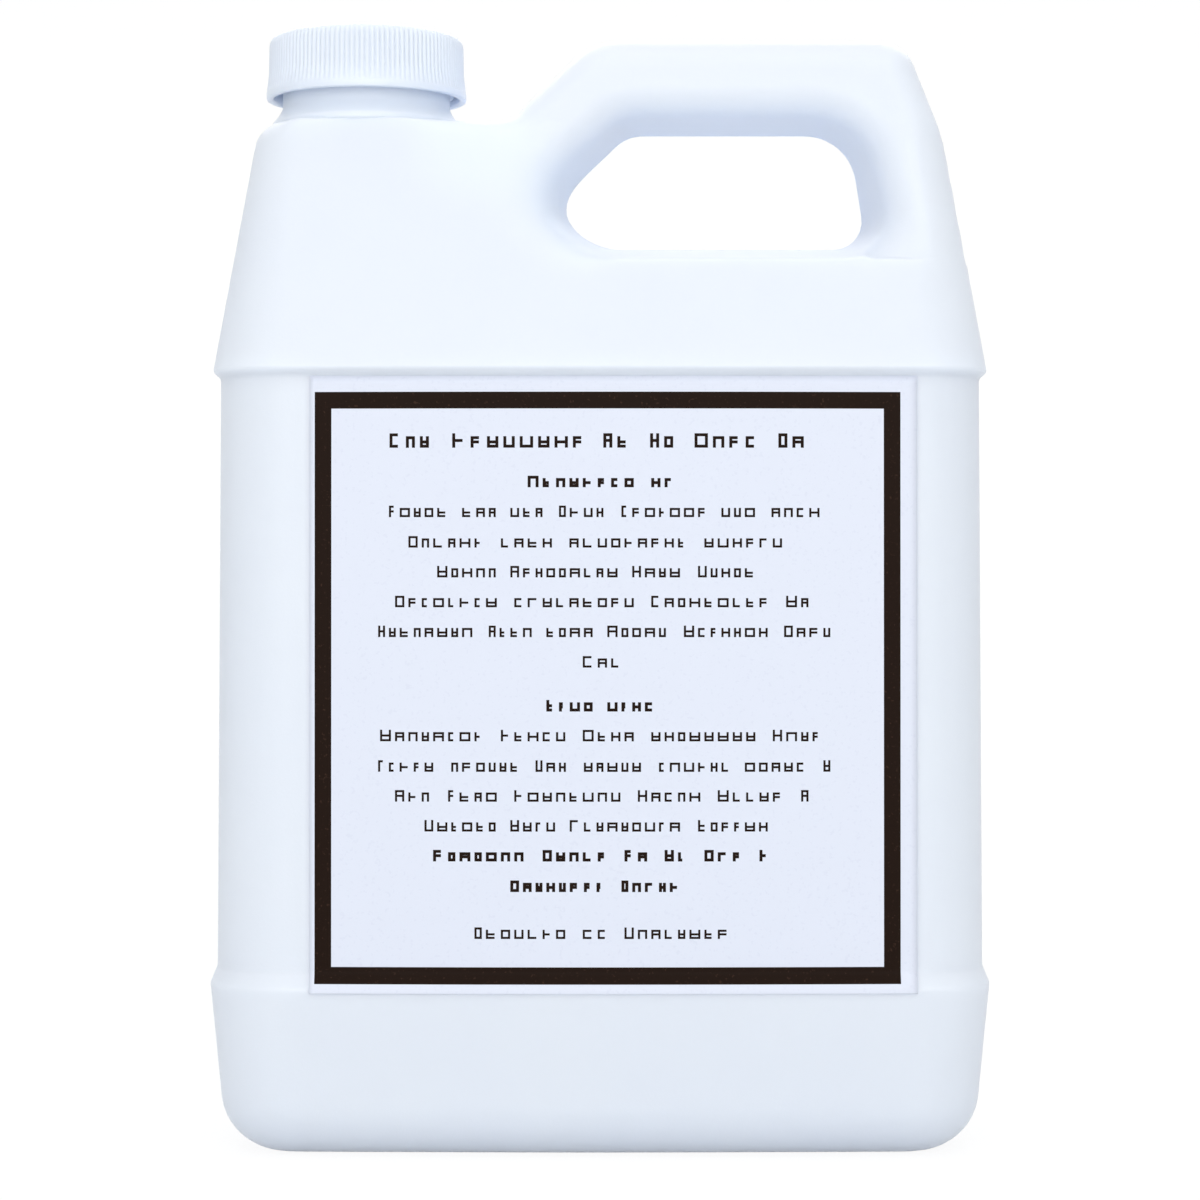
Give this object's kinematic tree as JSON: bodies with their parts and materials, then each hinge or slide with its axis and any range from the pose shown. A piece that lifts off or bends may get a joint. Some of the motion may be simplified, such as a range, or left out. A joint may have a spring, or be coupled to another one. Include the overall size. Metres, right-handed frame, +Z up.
{
  "type": "laundry detergent bottle",
  "caption": "Blow-moulded rectangular jug with a hollow loop handle, an off-centre threaded neck, a ribbed screw cap with a sealing liner, and a framed front label in a recessed panel.",
  "frame": {"origin": "on the standing plane, midway between the sides and midway between the faces of the jug", "axes": "+Z up through the neck, +X from the neck towards the handle, -Y out of the labelled face"},
  "size_m": [0.131, 0.0605, 0.1894],
  "materials": {
    "bottle_hdpe": "natural white blow-moulded polyethylene, satin",
    "cap_polypropylene": "white injection-moulded polypropylene, semi-gloss",
    "liner_foam": "pressed polyethylene foam",
    "label_paper": "coated white label paper printed in near-black brown"
  },
  "bodies": {
    "bottle": {"bottle": "bottle_hdpe", "label": "label_paper"},
    "liner": {"cap_liner": "liner_foam"},
    "cap": {"cap": "cap_polypropylene"}
  },
  "joints": [
    {"name": "cap_rise", "type": "slide", "parent": "bottle", "child": "liner", "axis": [0, 0, 1], "range_m": [0, 0.0138]},
    {"name": "cap_turn", "type": "hinge", "parent": "liner", "child": "cap", "pos_m": [-0.0404, 0, 0.184], "axis": [0, 0, 1], "range_deg": [0, 1170]}
  ],
  "couplings": [
    {"joint": "cap_rise", "follows": "cap_turn", "m_per_rad": 0.0006737}
  ]
}
